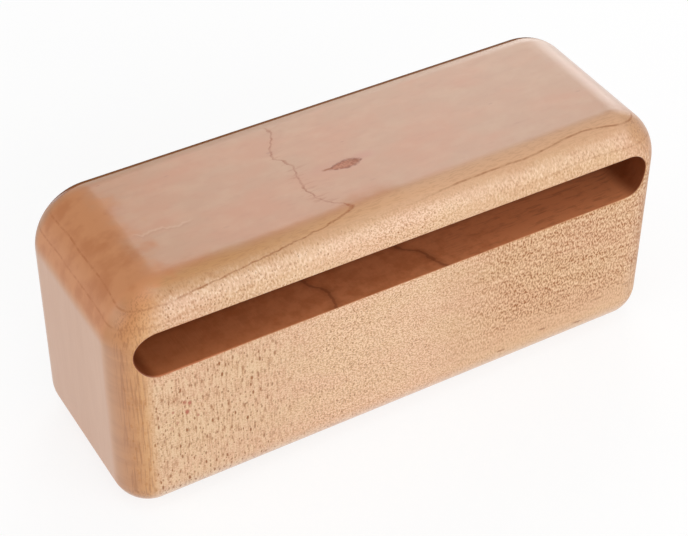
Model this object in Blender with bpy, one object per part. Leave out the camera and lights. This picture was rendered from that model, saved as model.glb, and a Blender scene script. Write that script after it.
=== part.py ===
"""A wood block: one piece of maple, rounded on every edge, with a deep sound slot milled into its front.

Lengths are in metres. X runs along the block, -Y is the slotted front and +Z is the struck top.
The origin is the middle of the underside, on the surface that the block stands on.
"""

import math

import bmesh
import bpy

# The blank
LENGTH = 0.180
WIDTH = 0.0626
HEIGHT = 0.079

# Round corners of the long outline, as seen from the front
TOP_CORNER_RADIUS = 0.018
BOTTOM_CORNER_RADIUS = 0.011

# Roundover that follows that outline on the front face and on the back face
EDGE_RADIUS = 0.011

# Sound slot, cut by a round cutter that leaves half-round ends
SLOT_HEIGHT = 0.015
LIP_THICKNESS = 0.0115
LEFT_WALL = 0.0057
RIGHT_WALL = 0.0069
BACK_WALL = 0.015
RIM_CHAMFER = 0.0004

# How finely round shapes are drawn
CORNER_STEPS = 14
ROUNDOVER_STEPS = 12
SLOT_END_STEPS = 20

# How far the cutter stands out of the wood
CUTTER_OVERRUN = 0.004

# Points of one loop that are closer than this are the same point
SAME_POINT = 1e-6

# Satin lacquered maple
MAPLE_COLOUR = (0.72, 0.48, 0.29, 1.0)
MAPLE_ROUGHNESS = 0.38


def clear_scene():
    for old in list(bpy.data.objects):
        bpy.data.objects.remove(old)


def arc(centre, radius, start_degrees, steps):
    """Points of a quarter circle in X and Z, anticlockwise from start_degrees."""
    angles = [math.radians(start_degrees + 90 * i / steps) for i in range(steps + 1)]
    return [(centre[0] + radius * math.cos(a), centre[1] + radius * math.sin(a)) for a in angles]


def outline(inset):
    """The block's long outline in X and Z, moved inwards by inset. A corner loses radius until it is sharp."""
    top_radius = max(TOP_CORNER_RADIUS - inset, 0)
    bottom_radius = max(BOTTOM_CORNER_RADIUS - inset, 0)
    right, top, bottom = LENGTH / 2 - inset, HEIGHT - inset, inset
    points = arc((right - top_radius, top - top_radius), top_radius, 0, CORNER_STEPS)
    points += arc((-right + top_radius, top - top_radius), top_radius, 90, CORNER_STEPS)
    points += arc((-right + bottom_radius, bottom + bottom_radius), bottom_radius, 180, CORNER_STEPS)
    points += arc((right - bottom_radius, bottom + bottom_radius), bottom_radius, 270, CORNER_STEPS)
    return points


def distance_to_outline(x, z):
    """How far a point of the front view lies inside the block's outline."""
    from_end = LENGTH / 2 - abs(x)
    from_top_or_bottom = min(HEIGHT - z, z)
    radius = TOP_CORNER_RADIUS if z > HEIGHT / 2 else BOTTOM_CORNER_RADIUS
    if from_end < radius and from_top_or_bottom < radius:
        return radius - math.hypot(radius - from_end, radius - from_top_or_bottom)
    return min(from_end, from_top_or_bottom)


def front_surface(x, z):
    """Y of the front surface: flat in the middle, and falling away round the edge."""
    into_roundover = min(max(EDGE_RADIUS - distance_to_outline(x, z), 0), EDGE_RADIUS)
    return -WIDTH / 2 + EDGE_RADIUS - math.sqrt(EDGE_RADIUS**2 - into_roundover**2)


def loft(name, loops):
    """A closed body through loops of equally many points, each anticlockwise seen from -Y, ordered towards +Y."""
    bm = bmesh.new()
    rings = [[bm.verts.new(point) for point in loop] for loop in loops]
    count = len(rings[0])
    for near, far in zip(rings, rings[1:]):
        for i in range(count):
            j = (i + 1) % count
            bm.faces.new((near[i], far[i], far[j], near[j]))
    bm.faces.new(rings[0])
    bm.faces.new(reversed(rings[-1]))
    bmesh.ops.remove_doubles(bm, verts=bm.verts, dist=SAME_POINT)
    bmesh.ops.recalc_face_normals(bm, faces=bm.faces)
    mesh = bpy.data.meshes.new(name)
    bm.to_mesh(mesh)
    bm.free()
    made = bpy.data.objects.new(name, mesh)
    bpy.context.scene.collection.objects.link(made)
    return made


def make_blank():
    """The rounded block before the slot is cut."""
    angles = [math.radians(90 * i / ROUNDOVER_STEPS) for i in range(ROUNDOVER_STEPS + 1)]
    front = [(EDGE_RADIUS * (1 - math.sin(a)), -WIDTH / 2 + EDGE_RADIUS * (1 - math.cos(a))) for a in angles]
    back = [(inset, -y) for inset, y in reversed(front)]
    return loft("slotted_block", [[(x, y, z) for x, z in outline(inset)] for inset, y in front + back])


def slot_loop():
    """The slot's section in X and Z, as (x, z, outward x, outward z): two half circles, joined by straight sides."""
    radius = SLOT_HEIGHT / 2
    middle = HEIGHT - LIP_THICKNESS - radius
    right = LENGTH / 2 - RIGHT_WALL - radius
    left = -LENGTH / 2 + LEFT_WALL + radius
    points = []
    for end, start in ((right, -90), (left, 90)):
        for i in range(SLOT_END_STEPS + 1):
            angle = math.radians(start + 180 * i / SLOT_END_STEPS)
            across, up = math.cos(angle), math.sin(angle)
            points.append((end + radius * across, middle + radius * up, across, up))
    return points


def make_slot_cutter():
    """The slot's shape, with a mouth that flares to break the edge where it meets the front surface."""
    flare = 2 * RIM_CHAMFER
    front = -WIDTH / 2 - CUTTER_OVERRUN
    back = WIDTH / 2 - BACK_WALL
    section = slot_loop()
    wide = [(x + flare * across, z + flare * up) for x, z, across, up in section]
    loops = [
        [(x, front, z) for x, z in wide],
        [(x, front_surface(x, z) - RIM_CHAMFER, z) for x, z in wide],
        [(x, front_surface(x, z) + RIM_CHAMFER, z) for x, z, _, _ in section],
        [(x, back, z) for x, z, _, _ in section],
    ]
    cutter = loft("slot_cutter", loops)
    cutter.hide_render = True
    cutter.display_type = "WIRE"
    return cutter


def make_maple():
    maple = bpy.data.materials.new("maple")
    maple.use_nodes = True
    shader = maple.node_tree.nodes["Principled BSDF"]
    shader.inputs["Base Color"].default_value = MAPLE_COLOUR
    shader.inputs["Roughness"].default_value = MAPLE_ROUGHNESS
    shader.inputs["Metallic"].default_value = 0.0
    return maple


def main():
    clear_scene()
    block = make_blank()
    block.data.shade_smooth()
    block.data.set_sharp_from_angle(angle=math.radians(35))
    block.data.materials.append(make_maple())
    cut = block.modifiers.new("sound slot", "BOOLEAN")
    cut.operation = "DIFFERENCE"
    cut.object = make_slot_cutter()


main()
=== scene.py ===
"""A lacquered maple wood block on a white floor, seen from the front left and above.

Lengths are in metres, except in the maple's own shader, which works in millimetres from the same origin.
"""

import math

import bmesh
import bpy
from mathutils import Matrix, Vector


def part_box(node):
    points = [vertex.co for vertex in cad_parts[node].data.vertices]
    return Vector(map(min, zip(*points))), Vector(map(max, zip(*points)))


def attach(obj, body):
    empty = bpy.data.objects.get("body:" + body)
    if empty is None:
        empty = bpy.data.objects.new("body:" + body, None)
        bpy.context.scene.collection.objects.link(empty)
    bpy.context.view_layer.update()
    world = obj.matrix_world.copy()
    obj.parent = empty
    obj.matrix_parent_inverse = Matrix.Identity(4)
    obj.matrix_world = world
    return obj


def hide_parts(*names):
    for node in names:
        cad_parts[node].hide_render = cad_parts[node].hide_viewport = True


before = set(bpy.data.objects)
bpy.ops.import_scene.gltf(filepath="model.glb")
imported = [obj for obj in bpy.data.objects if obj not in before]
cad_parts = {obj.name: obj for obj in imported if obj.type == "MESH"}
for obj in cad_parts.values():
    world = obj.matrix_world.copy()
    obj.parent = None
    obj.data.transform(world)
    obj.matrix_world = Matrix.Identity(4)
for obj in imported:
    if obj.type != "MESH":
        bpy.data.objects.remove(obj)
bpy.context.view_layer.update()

MM = 0.001

# The blank, whose overall size comes from the frame
LOW, HIGH = (Vector(corner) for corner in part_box("slotted_block"))
LENGTH, WIDTH, HEIGHT = HIGH - LOW
TOP_CORNER_RADIUS = 0.018
BOTTOM_CORNER_RADIUS = 0.011
EDGE_RADIUS = 0.011

# The sound slot
SLOT_HEIGHT = 0.015
LIP_THICKNESS = 0.0115
LEFT_WALL = 0.0057
RIGHT_WALL = 0.0069
BACK_WALL = 0.015
RIM_RADIUS = 0.0005

# How finely round shapes are drawn
CORNER_STEPS = 36
ROUNDOVER_STEPS = 28
SLOT_END_STEPS = 56
RIM_STEPS = 6
CUTTER_OVERRUN = 0.004
SAME_POINT = 1e-6
SHARP_ANGLE = math.radians(40)

SLOT_RADIUS = SLOT_HEIGHT / 2
SLOT_MIDDLE = HEIGHT - LIP_THICKNESS - SLOT_RADIUS
SLOT_LEFT = -LENGTH / 2 + LEFT_WALL + SLOT_RADIUS
SLOT_RIGHT = LENGTH / 2 - RIGHT_WALL - SLOT_RADIUS


def arc(centre, radius, start_degrees, steps):
    """Points of a quarter circle in X and Z, anticlockwise from start_degrees."""
    angles = [math.radians(start_degrees + 90 * i / steps) for i in range(steps + 1)]
    return [(centre[0] + radius * math.cos(a), centre[1] + radius * math.sin(a)) for a in angles]


def outline(inset):
    """The block's long outline in X and Z, moved inwards by inset."""
    top_radius = max(TOP_CORNER_RADIUS - inset, 0)
    bottom_radius = max(BOTTOM_CORNER_RADIUS - inset, 0)
    right, top, bottom = LENGTH / 2 - inset, HEIGHT - inset, inset
    points = arc((right - top_radius, top - top_radius), top_radius, 0, CORNER_STEPS)
    points += arc((-right + top_radius, top - top_radius), top_radius, 90, CORNER_STEPS)
    points += arc((-right + bottom_radius, bottom + bottom_radius), bottom_radius, 180, CORNER_STEPS)
    points += arc((right - bottom_radius, bottom + bottom_radius), bottom_radius, 270, CORNER_STEPS)
    return points


def distance_to_outline(x, z):
    """How far a point of the front view lies inside the block's outline."""
    from_end = LENGTH / 2 - abs(x)
    from_top_or_bottom = min(HEIGHT - z, z)
    radius = TOP_CORNER_RADIUS if z > HEIGHT / 2 else BOTTOM_CORNER_RADIUS
    if from_end < radius and from_top_or_bottom < radius:
        return radius - math.hypot(radius - from_end, radius - from_top_or_bottom)
    return min(from_end, from_top_or_bottom)


def front_surface(x, z):
    """Y of the front surface: flat in the middle, and falling away round the edge."""
    into_roundover = min(max(EDGE_RADIUS - distance_to_outline(x, z), 0), EDGE_RADIUS)
    return -WIDTH / 2 + EDGE_RADIUS - math.sqrt(EDGE_RADIUS**2 - into_roundover**2)


def loft(name, loops):
    """A closed body through loops of equally many points.

    Each loop runs anticlockwise as seen from the front, and the loops are in order from front to back.
    """
    bm = bmesh.new()
    rings = [[bm.verts.new(point) for point in loop] for loop in loops]
    count = len(rings[0])
    for near, far in zip(rings, rings[1:]):
        for i in range(count):
            j = (i + 1) % count
            bm.faces.new((near[i], far[i], far[j], near[j]))
    bm.faces.new(rings[0])
    bm.faces.new(reversed(rings[-1]))
    bmesh.ops.remove_doubles(bm, verts=bm.verts, dist=SAME_POINT)
    bmesh.ops.recalc_face_normals(bm, faces=bm.faces)
    mesh = bpy.data.meshes.new(name)
    bm.to_mesh(mesh)
    bm.free()
    made = bpy.data.objects.new(name, mesh)
    bpy.context.scene.collection.objects.link(made)
    return made


def make_blank():
    """The rounded block before the slot is cut."""
    angles = [math.radians(90 * i / ROUNDOVER_STEPS) for i in range(ROUNDOVER_STEPS + 1)]
    front = [(EDGE_RADIUS * (1 - math.sin(a)), -WIDTH / 2 + EDGE_RADIUS * (1 - math.cos(a))) for a in angles]
    back = [(inset, -y) for inset, y in reversed(front)]
    return loft("maple_block", [[(x, y, z) for x, z in outline(inset)] for inset, y in front + back])


def make_slot_cutter():
    """The slot's shape, with a mouth that opens in a small quarter round where it meets the front surface."""
    section = []
    for end, start in ((SLOT_RIGHT, -90), (SLOT_LEFT, 90)):
        for i in range(SLOT_END_STEPS + 1):
            angle = math.radians(start + 180 * i / SLOT_END_STEPS)
            across, up = math.cos(angle), math.sin(angle)
            section.append((end + SLOT_RADIUS * across, SLOT_MIDDLE + SLOT_RADIUS * up, across, up))

    def loop(flare, depth):
        points = [(x + flare * across, z + flare * up) for x, z, across, up in section]
        return [(x, front_surface(x, z) + depth, z) for x, z in points]

    mouth = [math.radians(90 * i / RIM_STEPS) for i in range(RIM_STEPS + 1)]
    before = -WIDTH / 2 - CUTTER_OVERRUN
    outside = [(x + RIM_RADIUS * across, before, z + RIM_RADIUS * up) for x, z, across, up in section]
    rim = [loop(RIM_RADIUS * (1 - math.sin(a)), RIM_RADIUS * (1 - math.cos(a))) for a in mouth]
    back = [(x, WIDTH / 2 - BACK_WALL, z) for x, z, _, _ in section]
    return loft("slot_cutter", [outside] + rim + [back])


def make_block():
    """The rounded block with the slot cut into its front."""
    block = make_blank()
    cutter = make_slot_cutter()
    cut = block.modifiers.new("sound slot", "BOOLEAN")
    cut.operation = "DIFFERENCE"
    cut.object = cutter
    graph = bpy.context.evaluated_depsgraph_get()
    carved = bpy.data.meshes.new_from_object(block.evaluated_get(graph))
    block.modifiers.clear()
    block.data = carved
    bpy.data.objects.remove(cutter)
    carved.shade_smooth()
    carved.set_sharp_from_angle(angle=SHARP_ANGLE)
    even = block.modifiers.new("even shading", "WEIGHTED_NORMAL")
    even.keep_sharp = True
    return block


class Signal:
    """A number that a shader node gives, which can be used in sums and products."""

    def __init__(self, finish, socket):
        self.finish = finish
        self.socket = socket

    def __add__(self, other):
        return self.finish.maths("ADD", self, other)

    def __sub__(self, other):
        return self.finish.maths("SUBTRACT", self, other)

    def __rsub__(self, other):
        return self.finish.maths("SUBTRACT", other, self)

    def __mul__(self, other):
        return self.finish.maths("MULTIPLY", self, other)

    def __truediv__(self, other):
        return self.finish.maths("DIVIDE", self, other)

    def __pow__(self, other):
        return self.finish.maths("POWER", self, other)

    def __abs__(self):
        return self.finish.maths("ABSOLUTE", self)

    __radd__ = __add__
    __rmul__ = __mul__


# The part of a speck's radius that lies inside its soft edge, and the strength of the faintest speck
SPECK_CORE = 0.35
FAINTEST_SPECK = 0.4


class Finish:
    """A material with the means to write its nodes as expressions."""

    def __init__(self, name):
        self.material = bpy.data.materials.new(name)
        self.material.use_nodes = True
        self.tree = self.material.node_tree
        self.shader = self.tree.nodes["Principled BSDF"]

    def feed(self, socket, value):
        if isinstance(value, Signal):
            self.tree.links.new(value.socket, socket)
        else:
            socket.default_value = value

    def node(self, kind, settings, sockets, output=0):
        """One node: its settings first, with a curve's points among them, then its sockets."""
        made = self.tree.nodes.new(kind)
        for name, value in settings.items():
            if name == "curve_points":
                self.bend(made, value)
            else:
                setattr(made, name, value)
        for name, value in sockets.items():
            self.feed(made.inputs[name], value)
        return Signal(self, made.outputs[output])

    def bend(self, made, points):
        curve = made.mapping.curves[0]
        for _ in points[2:]:
            curve.points.new(0, 0)
        for point, place in zip(curve.points, points):
            point.location = place
        made.mapping.update()

    def maths(self, operation, *numbers):
        return self.node("ShaderNodeMath", {"operation": operation}, dict(enumerate(numbers)))

    def vector(self, operation, *vectors):
        return self.node("ShaderNodeVectorMath", {"operation": operation}, dict(enumerate(vectors)))

    def either(self, first, second):
        """The larger of two masks."""
        return self.maths("MAXIMUM", first, second)

    def split(self, vector):
        made = self.node("ShaderNodeSeparateXYZ", {}, {0: vector}).socket.node
        return [Signal(self, made.outputs[i]) for i in range(3)]

    def step(self, value, low, high):
        """0 at low and 1 at high, with an S curve between them. Low may be the larger one."""
        sockets = {"Value": value, "From Min": low, "From Max": high}
        return self.node("ShaderNodeMapRange", {"interpolation_type": "SMOOTHSTEP"}, sockets)

    def through(self, value, places):
        """A smooth curve through places, which are pairs of a value and its result, in order."""
        start, end = places[0][0], places[-1][0]
        lowest = min(result for _, result in places)
        highest = max(result for _, result in places)
        span, rise = end - start, highest - lowest
        points = [((at - start) / span, (result - lowest) / rise) for at, result in places]
        sockets = {"Factor": 1.0, "Value": (value - start) / span}
        curve = self.node("ShaderNodeFloatCurve", {"curve_points": points}, sockets)
        return curve * rise + lowest

    def blend(self, mask, first, second, mode="MIX"):
        settings = {"data_type": "RGBA", "blend_type": mode, "clamp_factor": True}
        return self.node("ShaderNodeMix", settings, {0: mask, 6: first, 7: second}, output=2)

    def noise(self, point, size, detail=2.0, roughness=0.5, shift=(0, 0, 0)):
        """Cloudy noise about 0.5, whose lumps are about size (x, y, z) across."""
        place = self.vector("ADD", self.vector("DIVIDE", point, size), shift)
        sockets = {"Vector": place, "Scale": 1.0, "Detail": detail, "Roughness": roughness}
        return self.node("ShaderNodeTexNoise", {}, sockets)

    def specks(self, point, spacing, share, least, most, shift=(0, 0, 0)):
        """Separate soft-edged specks in X and Y, 1 inside, in a share of the cells of a grid.

        Their half size is least to most of their spacing.
        """
        place = self.vector("ADD", self.vector("DIVIDE", point, spacing), shift)
        flat = {"voronoi_dimensions": "2D"}
        cells = self.node("ShaderNodeTexVoronoi", flat, {"Vector": place, "Scale": 1.0}).socket.node
        distance = Signal(self, cells.outputs["Distance"])
        chance, size, strength = self.split(Signal(self, cells.outputs["Color"]))
        radius = least + (most - least) * size
        inside = self.step(distance / radius, 1.0, SPECK_CORE)
        kept = self.maths("LESS_THAN", chance, share)
        return inside * kept * (FAINTEST_SPECK + (1 - FAINTEST_SPECK) * strength)


# The camera, fitted to the block's outline and slot in the photograph
PHOTO_WIDTH = 688
FOCAL_PIXELS = 1874.94
CAMERA_YAW = math.radians(30.39)
CAMERA_PITCH = math.radians(40.35)
CAMERA_ROLL = math.radians(0.37)
CAMERA_DISTANCE = 0.5593
CAMERA_RIGHT = -0.0025
CAMERA_UP = -0.00392
SENSOR_WIDTH = 36.0

BLOCK_MIDDLE = Vector((0, 0, HEIGHT / 2))


def make_camera():
    level_reach = math.cos(CAMERA_PITCH)
    ahead, aside = math.cos(CAMERA_YAW), math.sin(CAMERA_YAW)
    forward = Vector((aside * level_reach, ahead * level_reach, -math.sin(CAMERA_PITCH)))
    level = Vector((ahead, -aside, 0))
    above = level.cross(forward)
    right = level * math.cos(CAMERA_ROLL) + above * math.sin(CAMERA_ROLL)
    up = above * math.cos(CAMERA_ROLL) - level * math.sin(CAMERA_ROLL)
    data = bpy.data.cameras.new("camera")
    data.sensor_fit = "HORIZONTAL"
    data.sensor_width = SENSOR_WIDTH
    data.lens = FOCAL_PIXELS / PHOTO_WIDTH * SENSOR_WIDTH
    camera = bpy.data.objects.new("camera", data)
    place = BLOCK_MIDDLE - forward * CAMERA_DISTANCE + right * CAMERA_RIGHT + up * CAMERA_UP
    camera.matrix_world = Matrix.Translation(place) @ Matrix((right, up, -forward)).transposed().to_4x4()
    bpy.context.scene.collection.objects.link(camera)
    bpy.context.scene.camera = camera


# Each softbox: name, direction from the block, distance, width, height, brightness
SOFTBOXES = (
    ("front_softbox", (0.15, -0.93, 0.33), 1.3, 2.2, 0.8, 2.25),
    ("left_softbox", (-0.95, 0.05, 0.3), 1.3, 1.2, 0.7, 1.75),
    ("overhead_softbox", (-0.2, -0.2, 0.95), 1.3, 0.7, 0.7, 1.5),
    ("back_softbox", (0.42, 0.66, 0.62), 1.0, 0.5, 0.5, 1.8),
    ("back_low_softbox", (0.3, 0.93, 0.2), 1.3, 1.0, 0.45, 0.6),
    ("back_right_softbox", (0.75, 0.64, 0.18), 1.3, 0.8, 0.6, 1.8),
    ("right_softbox", (0.95, -0.2, 0.3), 1.3, 1.2, 0.8, 0.55),
)
WORLD_COLOUR = (1.0, 1.0, 1.0, 1.0)
WORLD_BRIGHTNESS = 0.3


def make_softbox(name, towards, distance, width, height, brightness):
    """A rectangular lamp that faces the block. Brightness is what a mirror would show, where 1 is white."""
    direction = Vector(towards).normalized()
    data = bpy.data.lights.new(name, "AREA")
    data.shape = "RECTANGLE"
    data.size = width
    data.size_y = height
    data.energy = brightness * math.pi * width * height
    lamp = bpy.data.objects.new(name, data)
    lamp.location = BLOCK_MIDDLE + direction * distance
    lamp.rotation_euler = direction.to_track_quat("Z", "Y").to_euler()
    bpy.context.scene.collection.objects.link(lamp)


def make_lights():
    for softbox in SOFTBOXES:
        make_softbox(*softbox)
    world = bpy.data.worlds.new("studio")
    bpy.context.scene.world = world
    world.use_nodes = True
    background = world.node_tree.nodes["Background"]
    background.inputs["Color"].default_value = WORLD_COLOUR
    background.inputs["Strength"].default_value = WORLD_BRIGHTNESS


# A black card flat on the floor behind the block. Only mirrored rays see it, as the dark line in the far top
# edge. It starts close behind the block, and its sides run away from the camera at their own headings.
CARD_START, CARD_END = 0.10, 3.0
CARD_LEFT, CARD_RIGHT = -0.083, 0.078
CARD_LEFT_HEADING = math.radians(6)
CARD_RIGHT_HEADING = math.radians(36.4)
CARD_LIFT = 0.001
BLACK = (0.0, 0.0, 0.0, 1.0)
NO_GLOSS = 0.0


def make_black_card():
    corners = []
    for side, heading, distances in (
        (CARD_LEFT, CARD_LEFT_HEADING, (CARD_START, CARD_END)),
        (CARD_RIGHT, CARD_RIGHT_HEADING, (CARD_END, CARD_START)),
    ):
        corners += [(side + distance * math.tan(heading), distance, CARD_LIFT) for distance in distances]
    mesh = bpy.data.meshes.new("black_card")
    mesh.from_pydata(corners, [], [(0, 1, 2, 3)])
    card = bpy.data.objects.new("black_card", mesh)
    bpy.context.scene.collection.objects.link(card)
    finish = Finish("black_paper")
    finish.feed(finish.shader.inputs["Base Color"], BLACK)
    finish.feed(finish.shader.inputs["Specular IOR Level"], NO_GLOSS)
    mesh.materials.append(finish.material)
    card.visible_camera = False
    card.visible_diffuse = False
    card.visible_transmission = False
    card.visible_shadow = False


FLOOR_SIZE = 6.0
FLOOR_WHITE = (0.80, 0.80, 0.80, 1.0)
SEEN_FLOOR = (0.24, 0.24, 0.24, 1.0)
SEEN_GLOW = (0.80, 0.80, 0.80, 1.0)
NO_GLOW = (0.0, 0.0, 0.0, 1.0)
MATT = 1.0
FULL_WHITE = 1.0


def make_floor():
    """A white floor. Where it is seen or mirrored, most of its white is its own, so its shadow is faint."""
    bm = bmesh.new()
    bmesh.ops.create_grid(bm, x_segments=1, y_segments=1, size=FLOOR_SIZE / 2)
    mesh = bpy.data.meshes.new("floor")
    bm.to_mesh(mesh)
    bm.free()
    floor = bpy.data.objects.new("floor", mesh)
    bpy.context.scene.collection.objects.link(floor)
    finish = Finish("white_floor")
    path = finish.node("ShaderNodeLightPath", {}, {}).socket.node
    rays = ("Is Camera Ray", "Is Glossy Ray", "Is Transmission Ray")
    camera, glossy, through = (Signal(finish, path.outputs[name]) for name in rays)
    seen = finish.maths("MINIMUM", camera + glossy + through, 1.0)
    finish.feed(finish.shader.inputs["Base Color"], finish.blend(seen, FLOOR_WHITE, SEEN_FLOOR))
    finish.feed(finish.shader.inputs["Roughness"], MATT)
    finish.feed(finish.shader.inputs["Specular IOR Level"], NO_GLOSS)
    finish.feed(finish.shader.inputs["Emission Color"], finish.blend(seen, NO_GLOW, SEEN_GLOW))
    finish.feed(finish.shader.inputs["Emission Strength"], FULL_WHITE)
    mesh.materials.append(finish.material)


# Colours of the maple, as linear light
TOP_WOOD = (0.56, 0.27, 0.125, 1.0)
TOP_ORANGE = (0.60, 0.24, 0.10, 1.0)
OCHRE_LEFT = (0.58, 0.29, 0.115, 1.0)
# The ochre band's colour at the right: the wood's colour, partly paled as a painted sheen
OCHRE_RIGHT_WITH_SHEEN = (0.74, 0.42, 0.235, 1.0)
# The front's base colours: paler than the bare wood, partly its quartered face and partly a painted sheen
FRONT_WOOD_WITH_SHEEN = (0.77, 0.49, 0.28, 1.0)
FRONT_PINK_WITH_SHEEN = (0.77, 0.455, 0.275, 1.0)
FRONT_LIGHT = (0.98, 0.735, 0.515, 1.0)
FRONT_DARK = (0.37, 0.12, 0.006, 1.0)
LEFT_TINT = (0.93, 0.91, 0.88, 1.0)
RIGHT_TINT = (0.86, 0.775, 0.655, 1.0)
# Pale streaks in the wood, and the painted highlight of the lacquer ridge
PALE_STREAK_AND_HIGHLIGHT = (0.88, 0.64, 0.40, 1.0)
FLECK = (0.31, 0.095, 0.012, 1.0)
RED_FLECK = (0.46, 0.09, 0.03, 1.0)
END_WOOD = (0.57, 0.255, 0.105, 1.0)
END_PALE = (0.68, 0.37, 0.21, 1.0)
ROUNDED_TOP = (0.67, 0.28, 0.115, 1.0)
ROUNDED_DARK = (0.52, 0.175, 0.055, 1.0)
ROUNDED_FRONT = (0.53, 0.23, 0.085, 1.0)
LEFT_EDGE = (0.66, 0.34, 0.135, 1.0)
RIGHT_CORNER = (0.55, 0.26, 0.09, 1.0)
FINE_LINE = (0.34, 0.12, 0.035, 1.0)
# Growth lines and dark dashes, and the painted shade of the lacquer ridge
GROWTH_LINE_AND_SHADE = (0.37, 0.085, 0.02, 1.0)
SLOT_WOOD = (0.64, 0.235, 0.095, 1.0)
SLOT_DARK = (0.41, 0.115, 0.03, 1.0)
# The slot's dark colour for its growth lines and streaks, and for the painted shadow under the lip
SLOT_LINE_AND_SHADE = (0.20, 0.05, 0.015, 1.0)
# Painted shade on the slot's rounded end walls
SLOT_END_SHADE = (0.18, 0.035, 0.004, 1.0)
KNOT_WOOD = (0.56, 0.18, 0.09, 1.0)
KNOT_EDGE = (0.29, 0.07, 0.012, 1.0)
# Painted shade: the dark line along the far top edge, standing in for a dark reflection there
FAR_EDGE_SHADE = (0.34, 0.10, 0.035, 1.0)

# The lacquer: a satin coat over the wood, and how deep it sinks into the open grain, in metres
WOOD_ROUGHNESS = 0.44
WOOD_GLOSS = 0.5
COAT_ROUGHNESS = 0.28
COAT_IOR = 1.6
RELIEF = 0.00003

# From here on lengths are in millimetres. The block's top, the layer under it that still counts as top, and
# where the middle of the slot and its back wall lie
TOP = HEIGHT / MM
TOP_LAYER = (TOP - 2, TOP - 1)
SLOT_UP = SLOT_MIDDLE / MM
SLOT_ACROSS = (SLOT_LEFT + SLOT_RIGHT) / 2 / MM
SLOT_HALF_LENGTH = (SLOT_RIGHT - SLOT_LEFT) / 2 / MM
SLOT_HALF_HEIGHT = SLOT_RADIUS / MM
SLOT_BACK = (WIDTH / 2 - BACK_WALL) / MM

# Growth layers: where the top one meets the top face, and how they dip to the right and to the left
LAYER_X = -18.0
LAYER_SLOPE = 0.055
LEFT_SLOPE = 0.02
RIGHT_CREST = 52.0
RIGHT_FALL = 0.0035
LINE_WIDTH = 0.25

# The wavering of the top layer's edge: place in Y and shift along X
WAVER = (
    (-31.3, 3.0),
    (-28.9, 3.2),
    (-27.6, 6.2),
    (-26.2, 8.6),
    (-25.0, 9.8),
    (-23.9, 9.0),
    (-22.6, 7.4),
    (-21.2, 4.3),
    (-19.7, 2.2),
    (-17.3, -0.3),
    (-14.1, -2.2),
    (-9.5, -3.2),
    (-3.1, -2.4),
    (2.2, -1.4),
    (4.8, -2.2),
    (7.4, -4.0),
    (12.0, -2.5),
    (15.2, -0.4),
    (21.0, 1.1),
    (31.3, 0.0),
)

# The other lines, by their height above the top layer. The right one's height follows its place in X.
RIGHT_LINE = ((0.0, -3.1), (16.0, -3.7), (35.0, -4.6), (44.0, -5.1), (66.0, -5.0), (79.0, -5.4), (90.0, -5.8))
LEFT_LINE = -4.4
LOWER_LINE = -10.8

# The lines in the floor of the slot: place in Y and place in X
LEFT_SLOT_LINE = (
    (-31.3, -23.6),
    (-27.6, -22.5),
    (-24.7, -22.2),
    (-22.3, -22.6),
    (-20.5, -24.5),
    (-17.8, -25.6),
    (16.3, -29.0),
)
RIGHT_SLOT_LINE = (
    (-31.3, 13.3),
    (-28.0, 11.7),
    (-25.7, 10.9),
    (-22.8, 10.4),
    (-19.7, 7.3),
    (-17.2, 5.2),
    (16.3, 1.0),
)

# How far the sheen of the top reaches towards the front beyond SHEEN_Y: place in X and reach
SHEEN_Y = -20.0
SHEEN_FRONT = (
    (-90, 0.5),
    (-55, 1.3),
    (-40, 4.4),
    (-28, 3.0),
    (-10, 0.2),
    (5, 3.4),
    (25, 6.4),
    (48, 7.2),
    (90, 6.2),
)

# The grain of the front rises to the left. Red marks lie in a patch at its left.
FRONT_GRAIN_SLOPE = 0.08
RED_MARKS_X, RED_MARKS_Z = -71.0, 36.0

# A fine ridge in the lacquer of the top, near its left end, drawn as a painted highlight and painted shade
RIDGE_X, RIDGE_Y = -63.0, -5.4
RIDGE_SLOPE = -0.07

# The knot on the top, the tail at its left, and the stains round it and at its right
KNOT_X, KNOT_Y = -5.9, -5.2
KNOT_LENGTH = 10.8
KNOT_WIDTH = 4.4
TAIL_X, TAIL_Y = -11.0, -4.8
STAIN_X, STAIN_Y = -6.0, -4.2
RIGHT_STAIN_X, RIGHT_STAIN_Y = 1.0, -4.0


class Surface:
    """Where a shaded point of the maple lies, which way it faces, and the clouds that several marks share."""

    def __init__(self, finish):
        metres = finish.node("ShaderNodeTexCoord", {}, {}, output="Object")
        self.point = finish.vector("DIVIDE", metres, (MM, MM, MM))
        self.x, self.y, self.z = finish.split(self.point)
        normal = finish.split(finish.node("ShaderNodeNewGeometry", {}, {}, output="Normal"))
        _, self.normal_y, self.normal_z = normal
        self.to_end, self.to_front, self.to_top = (abs(part) for part in normal)
        self.on_top = finish.step(self.z, *TOP_LAYER)
        self.at_left = finish.step(self.x, 10, -10)
        self.facing = finish.step(self.to_front, 0.35, 0.92)
        self.ending = finish.step(self.to_end, 0.75, 1.0)
        cloud = finish.noise(self.point, (20, 12, 14), 3.0)
        self.clouds = finish.step(cloud - self.x * 0.0012, 0.3, 0.75)
        mist = finish.noise(self.point, (9, 6, 9), 3.0, shift=(9.0, 3.0, 1.0))
        self.mist = finish.step(mist, 0.4, 0.75)
        self.blotches = finish.noise(self.point, (9, 7, 8), 3.0, 0.55)
        self.wisps = finish.noise(self.point, (4, 3, 4), 3.0, 0.6, shift=(1.0, 8.0, 0.0)) - 0.5


def growth(finish, at):
    """How far above the top growth layer a point lies."""
    waver = finish.through(at.y, WAVER) * finish.step(at.x, 20, 0)
    fine = finish.noise(at.point, (3.5, 2.4, 4.0), 2.0) - 0.5
    along = at.x - LAYER_X - waver - fine * 3.0
    dip = along * LAYER_SLOPE + finish.maths("MINIMUM", along, 0.0) * LEFT_SLOPE
    fall = finish.maths("MAXIMUM", at.x - RIGHT_CREST, 0.0)
    return at.z - TOP - dip + fall * fall * RIGHT_FALL


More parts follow.
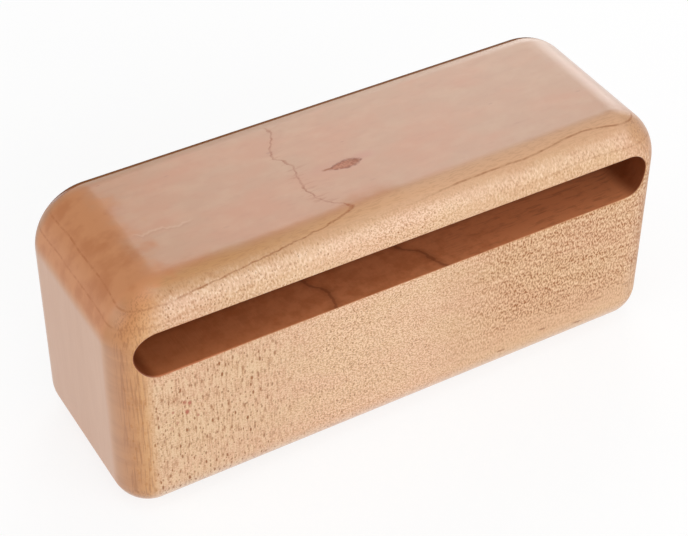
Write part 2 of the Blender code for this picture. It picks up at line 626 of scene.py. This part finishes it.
def growth_lines(finish, at):
    """Thin dark lines where growth layers reach the surface."""
    steep = (1.004 - at.to_top * at.to_top) ** 0.5
    flat = finish.step(at.to_top, 0.985, 0.999)
    wobble = finish.noise(at.point, (2.2, 1.6, 2.2), 2.0, shift=(4.0, 1.0, 7.0)) - 0.5
    level = growth(finish, at)
    level = level + wobble * 0.7 * finish.step(at.to_front, 0.2, 0.5) * finish.step(at.x, 20, -10)
    width = LINE_WIDTH + 0.05 * flat

    def line(height):
        return finish.step(abs(level - height) / steep / width, 1.8, 0.3)

    left_end = finish.step(at.x, -58, -78)
    right_end = finish.step(at.x, -5, 25)
    on_front = finish.step(at.to_front, 0.05, 0.3)
    back = finish.step(at.y, 24, 18)
    gaps = finish.noise(at.point, (2.2, 1.7, 2.2), 3.0, 0.7, shift=(8.0, 2.0, 5.0))
    broken = finish.step(gaps, 0.36, 0.66)
    patchy = 0.45 + 0.55 * broken - left_end * (0.25 - 0.25 * broken)
    top = line(0.0) * (0.85 - 0.43 * left_end - 0.2 * flat) * back
    left = line(LEFT_LINE) * left_end * 0.36
    right = line(finish.through(at.x, RIGHT_LINE)) * right_end * on_front * 0.7
    lower = line(LOWER_LINE) * finish.step(at.x, 35, 55) * on_front * 0.3
    lines = (top + left + right + lower) * patchy

    # Short twigs along the grain on both sides of the top line
    grain = finish.step(finish.noise(at.point, (5, 0.7, 2), 2.0, shift=(1.0, 6.0, 4.0)), 0.56, 0.66)
    beside = finish.step(abs(level), 0.3, 0.05) * flat * back
    return finish.either(lines, grain * beside * 0.22)


def flecked_front(finish, at):
    """The face that shows the rays: long dashes at left, dots in the middle, dense sand in rows at right.

    Gives its colour, and a mask of its dark marks.
    """
    x, z, point = at.x, at.z, at.point
    sloping = {"X": x, "Y": z + x * FRONT_GRAIN_SLOPE, "Z": at.y}
    face = finish.node("ShaderNodeCombineXYZ", {}, sloping)
    upright = finish.node("ShaderNodeCombineXYZ", {}, {"X": x, "Y": z, "Z": at.y})
    # The base is partly a painted sheen over the quartered face
    clouds = finish.step(finish.noise(face, (30, 14, 16), 3.0), 0.35, 0.65)
    colour = finish.blend(clouds, FRONT_WOOD_WITH_SHEEN, FRONT_PINK_WITH_SHEEN)
    left = finish.step(x, -20, -55)
    middle = finish.step(x, 10, -25)
    right = finish.step(x, 0, 42)
    low = finish.step(z, 58, 48)
    high = finish.step(z, 60, 66)
    calm = right * finish.step(z, 26, 8) * 0.7
    begin = finish.step(x, -55, -15)
    cut = finish.step(at.to_front, 0.12 + 0.22 * begin, 0.65 + 0.25 * begin) * (1 - calm)
    stroked = finish.either(right, high * finish.step(x, -5, -40))
    colour = finish.blend(calm * 0.5, colour, FRONT_LIGHT)

    # Sand: light and dark grains all over, which become short upright strokes in rows towards the right
    sand = finish.noise(face, (0.56, 0.44, 0.6), 1.0)
    strokes = finish.noise(face, (0.56, 1.0, 1.3), 1.5, shift=(3.0, 1.0, 2.0))
    strokes = 0.5 + (strokes - 0.5) * (1 - 0.5 * high)
    rows = finish.step(finish.noise(face, (11, 1.7, 4), 2.0), 0.36, 0.62)
    light = finish.step(sand, 0.5, 0.6) * (0.5 - 0.15 * left - 0.15 * high) * (1 - stroked)
    light = light + finish.step(strokes, 0.5, 0.58) * stroked * (0.97 - 0.4 * rows) * (1 - 0.25 * high)
    dark = finish.step(sand, 0.5, 0.4) * (0.4 - 0.2 * left) * (1 - stroked)
    seeds = finish.specks(face, (0.85, 1.25, 1.0), 0.7, 0.22, 0.44, shift=(0.7, 0.4, 0.0))
    strokes = finish.either(finish.step(strokes, 0.49, 0.4) * 0.95, seeds)
    dark = dark + strokes * stroked * (0.4 + 0.6 * rows) * (1 - 0.45 * high)
    colour = finish.blend(light * cut, colour, FRONT_LIGHT)
    colour = finish.blend(dark * cut, colour, FRONT_DARK)

    # Flecks, upright at the left and round in the middle
    streaks = finish.noise(upright, (0.6, 5.0, 0.6), 2.0)
    at_lower_left = left * low
    colour = finish.blend(finish.step(streaks, 0.48, 0.6) * at_lower_left * 0.55, colour, PALE_STREAK_AND_HIGHLIGHT)
    colour = finish.blend(finish.step(streaks, 0.45, 0.34) * at_lower_left * 0.4, colour, FRONT_DARK)
    sway = finish.noise(upright, (9, 14, 6), 1.0, shift=(3.1, 7.7, 1.3))
    bent = finish.vector("ADD", upright, finish.vector("MULTIPLY", sway, (1.6, 0.0, 0.0)))
    dashes = finish.specks(bent, (2.0, 5.0, 1.0), 0.9, 0.12, 0.25)
    ticks = finish.specks(bent, (1.3, 2.4, 1.0), 0.75, 0.14, 0.3, shift=(0.4, 0.2, 0.7)) * 0.85
    dots = finish.specks(bent, (0.95, 1.05, 1.0), 0.6, 0.16, 0.4, shift=(0.3, 0.9, 0.4))
    clusters = finish.step(finish.noise(upright, (4, 5, 4), 2.0, shift=(5.0, 5.0, 5.0)), 0.35, 0.6)
    long = finish.either(dashes, ticks) * at_lower_left
    flecks = finish.either(long, ticks * middle * (1 - left) * (0.4 + 0.6 * low))
    dots = dots * (0.85 - 0.6 * right - 0.55 * at_lower_left) * (0.3 + 0.7 * clusters)
    flecks = finish.either(flecks, dots)
    colour = finish.blend(flecks * cut, colour, FLECK)

    # Long faint dashes low at the right, and the red marks
    low_dashes = finish.specks(face, (16, 3.4, 1.0), 0.5, 0.1, 0.2, shift=(0.1, 0.6, 0.0))
    colour = finish.blend(low_dashes * right * finish.step(z, 26, 16), colour, FRONT_DARK)
    marks = finish.specks(bent, (3.2, 4.0, 1.0), 0.75, 0.12, 0.3, shift=(0.5, 0.1, 0.2))
    patch = finish.step(abs(x - RED_MARKS_X), 8, 3) * finish.step(abs(z - RED_MARKS_Z), 7, 3)
    colour = finish.blend(marks * patch, colour, RED_FLECK)

    colour = finish.blend(left, colour, LEFT_TINT, mode="MULTIPLY")
    colour = finish.blend(right * (1 - 0.45 * high), colour, RIGHT_TINT, mode="MULTIPLY")
    return colour, finish.either(flecks, dark * 0.8) * cut


def top_wood(finish, at):
    """The top and the underside, and the ochre band where they round over to the front and the back."""
    colour = finish.blend(at.clouds, TOP_WOOD, TOP_ORANGE)
    dashes = finish.step(finish.noise(at.point, (5, 1.4, 2), 3.0, shift=(4.0, 4.0, 1.0)), 0.5, 0.72)
    colour = finish.blend(dashes * 0.09, colour, GROWTH_LINE_AND_SHADE)
    colour = finish.blend(at.mist * 0.1, colour, PALE_STREAK_AND_HIGHLIGHT)
    smudges = finish.specks(at.point, (24, 8, 1), 0.3, 0.03, 0.07, shift=(0.2, 0.6, 0.0))
    colour = finish.blend(smudges * at.on_top * 0.35, colour, GROWTH_LINE_AND_SHADE)

    # The ridge in the lacquer, drawn as a painted highlight on one side and painted shade on the other
    wave = finish.noise(at.point, (4, 60, 60), 2.0, shift=(2.0, 0.0, 0.0)) - 0.5
    beside = at.y - RIDGE_Y - wave * 6.0 - (at.x - RIDGE_X) * RIDGE_SLOPE
    reach = finish.step(abs(at.x - RIDGE_X), 10, 6) * at.on_top
    colour = finish.blend(finish.step(abs(beside), 0.6, 0.1) * reach * 0.17, colour, PALE_STREAK_AND_HIGHLIGHT)
    colour = finish.blend(finish.step(abs(beside + 0.8), 0.6, 0.1) * reach * 0.13, colour, GROWTH_LINE_AND_SHADE)

    # The ochre band, which begins sooner and is paler towards the right, where the paleness is partly a
    # painted sheen
    ochre = finish.blend(finish.step(at.x, -60, 15), OCHRE_LEFT, OCHRE_RIGHT_WITH_SHEEN)
    hairs = finish.noise(at.point, (2.4, 0.4, 0.4), 2.0, shift=(7.0, 1.0, 3.0))
    ochre = finish.blend(finish.step(hairs, 0.48, 0.62) * 0.2, ochre, FINE_LINE)
    sooner = finish.step(at.x, -30, 30)
    band = finish.step(at.to_front, 0.05 - sooner * 0.03, 0.4 - sooner * 0.14)
    return finish.blend(band, colour, ochre)


def end_wood(finish, at):
    """The two ends, pale towards the front, with faint upright ripples and brushed streaks."""
    ripples = finish.step(finish.noise(at.point, (8, 3.5, 18), 3.0, shift=(1.0, 3.0, 2.0)), 0.4, 0.65)
    brushed = finish.step(finish.noise(at.point, (6, 0.9, 14), 2.0, shift=(5.0, 2.0, 3.0)), 0.42, 0.62)
    pale = 0.08 + ripples * 0.12 + brushed * 0.14 + finish.step(at.y, -2, -19) * 0.3
    return finish.blend(pale, END_WOOD, END_PALE)


class Roundings:
    """Masks of the rounded edges, which cut the grain across and so take up more lacquer, and of a band on
    the far top edge that is darkened as painted shade.
    """

    def __init__(self, finish, at):
        lobes = finish.noise(at.point, (10, 9, 9), 1.0, shift=(3.0, 4.0, 0.0)) - 0.5
        spread = finish.step(at.x + lobes * 22 + at.wisps * 14, -66, -78) * at.on_top
        rounded = finish.step(at.to_end * at.to_top, 0.02, 0.3)
        self.over_top = finish.either(rounded * at.at_left, spread)
        self.over_front = finish.step(at.to_front, 0.03, 0.35) * finish.step(at.to_end, 0.25, 0.8)
        self.left_edge = finish.step(at.to_end, 0.02, 0.4) * at.facing * at.at_left
        both = finish.step(at.to_end, 0.1, 0.35) * finish.step(at.to_front, 0.1, 0.4)
        self.right_corner = both * finish.step(at.normal_z, 0.15, 0.5) * (1 - at.at_left)
        # The band on the far top edge that carries the painted dark line
        looking_up = finish.step(at.normal_z, 0.45, 0.7) * finish.step(at.to_end, 0.62, 0.5)
        self.far_edge_shade = finish.step(at.normal_y, 0.31, 0.37) * looking_up

    def colour(self, finish, at, colour):
        """The wood's colour with the roundings laid over it, and a painted dark line on the far top edge."""
        colour = finish.blend(self.over_top * 0.9, colour, ROUNDED_TOP)
        blotchy = finish.step(at.blotches, 0.4, 0.68)
        colour = finish.blend(self.over_top * blotchy * 0.65, colour, ROUNDED_DARK)
        colour = finish.blend(self.right_corner * 0.6, colour, RIGHT_CORNER)
        colour = finish.blend(self.left_edge * 0.85, colour, LEFT_EDGE)
        colour = finish.blend(self.over_front * (0.25 + 0.65 * at.at_left), colour, ROUNDED_FRONT)
        bands = finish.step(finish.noise(at.point, (20, 20, 2.6), 2.0, shift=(0.0, 0.0, 6.0)), 0.4, 0.65)
        colour = finish.blend(self.over_front * bands * 0.25, colour, FINE_LINE)
        threads = finish.noise(at.point, (0.5, 0.5, 8.0), 2.0, shift=(3.0, 1.0, 2.0))
        edge = finish.step(at.to_end, 0.12, 0.4) * finish.step(at.to_end, 0.93, 0.75)
        edge = edge * finish.step(at.to_front, 0.25, 0.5)
        colour = finish.blend(finish.step(threads, 0.48, 0.62) * edge * 0.5, colour, FINE_LINE)
        # Painted shade: a dark line along the far top edge
        return finish.blend(self.far_edge_shade * 0.7, colour, FAR_EDGE_SHADE)


class Slot:
    """Masks of the slot's inside and of the wood along its rim."""

    def __init__(self, finish, at):
        self.along = finish.either(abs(at.x - SLOT_ACROSS) - SLOT_HALF_LENGTH, 0.0)
        up = at.z - SLOT_UP
        from_middle = (self.along * self.along + up * up) ** 0.5
        to_rim = from_middle - SLOT_HALF_HEIGHT - 0.24 * finish.step(at.x, -45, -70)
        inside = finish.step(to_rim, 0.16, 0.02)
        self.inside = inside * finish.step(at.y, SLOT_BACK + 2, SLOT_BACK + 1)
        near = finish.step(from_middle, SLOT_HALF_HEIGHT + 0.9, SLOT_HALF_HEIGHT + 0.5)
        self.rim = near * finish.step(at.y, 0, -10)

    def colour(self, finish, at):
        """Mottled wood, crossed by two growth lines, with painted shade at the ends, deeper in and under the
        lip.
        """
        mottled = finish.noise(at.point, (3.5, 3.5, 5), 4.0, 0.6, shift=(6.0, 2.0, 1.0))
        mottled = finish.step(mottled, 0.35, 0.7)
        # Mottling, darker at the left and lighter at the right, with painted shade deeper in towards the back
        left = finish.step(at.x, -20, -80)
        inner_shade = finish.step(at.y, -23, -13) * finish.step(at.x, 40, -60)
        shade = mottled * (0.5 - 0.25 * left) + 0.05 + 0.45 * left + inner_shade * 0.35
        shade = shade - finish.step(at.x, 0, 50) * 0.35
        colour = finish.blend(shade, SLOT_WOOD, SLOT_DARK)
        # Painted shadow: a dark band in the floor just under the lip
        colour = finish.blend(finish.step(at.y, -18.0, -13.5) * 0.75, colour, SLOT_LINE_AND_SHADE)
        streaks = finish.noise(at.point, (7, 1.1, 5), 3.0, 0.6, shift=(4.0, 1.0, 9.0))
        streaks = finish.step(streaks, 0.5, 0.68) * finish.step(at.x, -10, 50)
        colour = finish.blend(streaks * 0.35, colour, SLOT_LINE_AND_SHADE)
        # Painted shade on the rounded end walls of the slot
        end_shade = finish.step(self.along, 0.5, 5.0) * (0.85 + 0.1 * mottled)
        colour = finish.blend(end_shade, colour, SLOT_END_SHADE)
        ragged = (finish.noise(at.point, (2, 1.5, 3), 2.0, shift=(2.0, 9.0, 1.0)) - 0.5) * 2.0
        for places in (LEFT_SLOT_LINE, RIGHT_SLOT_LINE):
            beside = abs(at.x - finish.through(at.y, places) + ragged)
            colour = finish.blend(finish.step(beside, 2.6, 0.5) * 0.24, colour, SLOT_LINE_AND_SHADE)
            colour = finish.blend(finish.step(beside, 0.7, 0.2) * 0.5, colour, SLOT_LINE_AND_SHADE)
        return colour


def knotted(finish, at, colour):
    """The colour with the knot laid over it, and a mask of the knot.

    It is pointed at both ends, with a tail at its left and a soft stain round it and at its right.
    """
    u = (at.x - KNOT_X) / (KNOT_LENGTH / 2)
    v = (at.y - KNOT_Y) / (KNOT_WIDTH / 2)
    ragged = (finish.noise(at.point, (1.6, 0.7, 1.0), 3.0) - 0.5) * 0.8
    inside = 1 - u * u - abs(v) * (1.25 - 0.45 * u) + ragged
    knot = finish.step(inside, -0.2, 0.3) * at.on_top
    stain = finish.step(abs(at.y - STAIN_Y), 3.6, 0.0) * finish.step(abs(at.x - STAIN_X), 15, 4)
    at_right = finish.step(abs(at.x - RIGHT_STAIN_X), 5, 1)
    stain = stain + at_right * finish.step(abs(at.y - RIGHT_STAIN_Y), 2.6, 0.3)
    colour = finish.blend(stain * at.on_top * 0.3, colour, KNOT_WOOD)
    colour = finish.blend(knot * 0.9, colour, KNOT_WOOD)
    speckled = finish.step(finish.noise(at.point, (0.8, 0.6, 1.0), 2.0, shift=(5.0, 1.0, 2.0)), 0.45, 0.6)
    colour = finish.blend(knot * speckled * 0.55, colour, KNOT_EDGE)
    colour = finish.blend(knot * finish.step(u + v * 0.5, -0.1, 0.9) * 0.5, colour, KNOT_EDGE)
    patches = finish.step(finish.noise(at.point, (1.7, 1.2, 1.0), 2.0, shift=(1.0, 2.0, 9.0)), 0.4, 0.6)
    colour = finish.blend(knot * (1 - patches) * 0.2, colour, END_PALE)
    rim = finish.step(abs(inside - 0.1), 0.4, 0.0) * (0.15 + 0.6 * patches) * at.on_top
    colour = finish.blend(rim, colour, KNOT_EDGE)
    tail = finish.step(abs(at.y - TAIL_Y - ragged), 0.6, 0.1) * finish.step(abs(at.x - TAIL_X), 2.4, 1.0)
    tail = tail * at.on_top
    colour = finish.blend(tail * 0.45, colour, KNOT_EDGE)
    return colour, finish.either(knot, finish.either(rim, tail))


def bare_wood(finish, at, roundings, slot, flecks, lines, marked):
    """How little lacquer stands on the wood: 0 where its sheen is full, 1 or more where it shows none."""
    sheen_edge = at.y + (at.blotches - 0.5) * 9 + at.wisps * 6 + finish.through(at.x, SHEEN_FRONT)
    front_edge = finish.step(sheen_edge, SHEEN_Y + 3, SHEEN_Y - 3) * at.on_top * finish.step(at.y, 0, -10)
    bare = finish.either(roundings.over_top * 0.7, front_edge * 0.7)
    bare = bare + at.facing * (0.4 + 0.6 * flecks) + at.ending * 0.35 + lines * 0.9
    bare = bare + slot.inside * 0.68 + slot.rim * 0.6 + marked * 0.9
    near_right = finish.step(at.to_end, 0.1, 0.5) * finish.step(at.y, -14, -24) * (1 - at.at_left)
    bare = bare + roundings.left_edge * 0.3 + near_right * 0.5
    return bare * finish.step(at.normal_z, -0.7, -0.1) + roundings.far_edge_shade


def make_maple():
    """Satin lacquered maple: growth layers nearly level, ray flecks on the front and back, a knot on top."""
    finish = Finish("lacquered_maple")
    at = Surface(finish)
    roundings = Roundings(finish, at)
    slot = Slot(finish, at)

    flecked, flecks = flecked_front(finish, at)
    colour = finish.blend(at.facing, top_wood(finish, at), flecked)
    colour = finish.blend(at.ending, colour, end_wood(finish, at))
    colour = roundings.colour(finish, at, colour)
    lines = growth_lines(finish, at) * (1 - slot.inside)
    line_colour = finish.blend(finish.step(at.to_front, 0.1, 0.5), GROWTH_LINE_AND_SHADE, FINE_LINE)
    colour = finish.blend(lines, colour, line_colour)
    colour = finish.blend(slot.inside, colour, slot.colour(finish, at))
    colour, marked = knotted(finish, at, colour)

    # The lacquer sinks a little where the grain is open, and the slot is left rough by the cutter
    pores = finish.either(at.facing * flecks * 0.8, lines)
    cuts = finish.noise(at.point, (0.5, 6.0, 6.0), 2.0, shift=(2.0, 3.0, 8.0))
    height = at.clouds * 0.3 - pores - slot.inside * cuts * 1.5
    bump = {"Strength": 1.0, "Distance": RELIEF, "Height": height}
    rough = WOOD_ROUGHNESS + pores * 0.08 + at.mist * 0.02 + slot.inside * 0.05 - roundings.far_edge_shade * 0.3
    bare = bare_wood(finish, at, roundings, slot, flecks, lines, marked)

    sockets = finish.shader.inputs
    finish.feed(sockets["Base Color"], colour)
    finish.feed(sockets["Roughness"], rough)
    finish.feed(sockets["Normal"], finish.node("ShaderNodeBump", {}, bump))
    finish.feed(sockets["Specular IOR Level"], WOOD_GLOSS)
    finish.feed(sockets["Coat Weight"], finish.either(1 - bare, 0.0))
    finish.feed(sockets["Coat Roughness"], COAT_ROUGHNESS)
    finish.feed(sockets["Coat IOR"], COAT_IOR)
    return finish.material


def main():
    make_camera()
    make_lights()
    make_floor()
    make_black_card()
    block = make_block()
    block.data.materials.clear()
    block.data.materials.append(make_maple())
    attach(block, "root")
    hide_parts("slotted_block")
    bpy.context.scene.view_settings.view_transform = "Standard"


main()
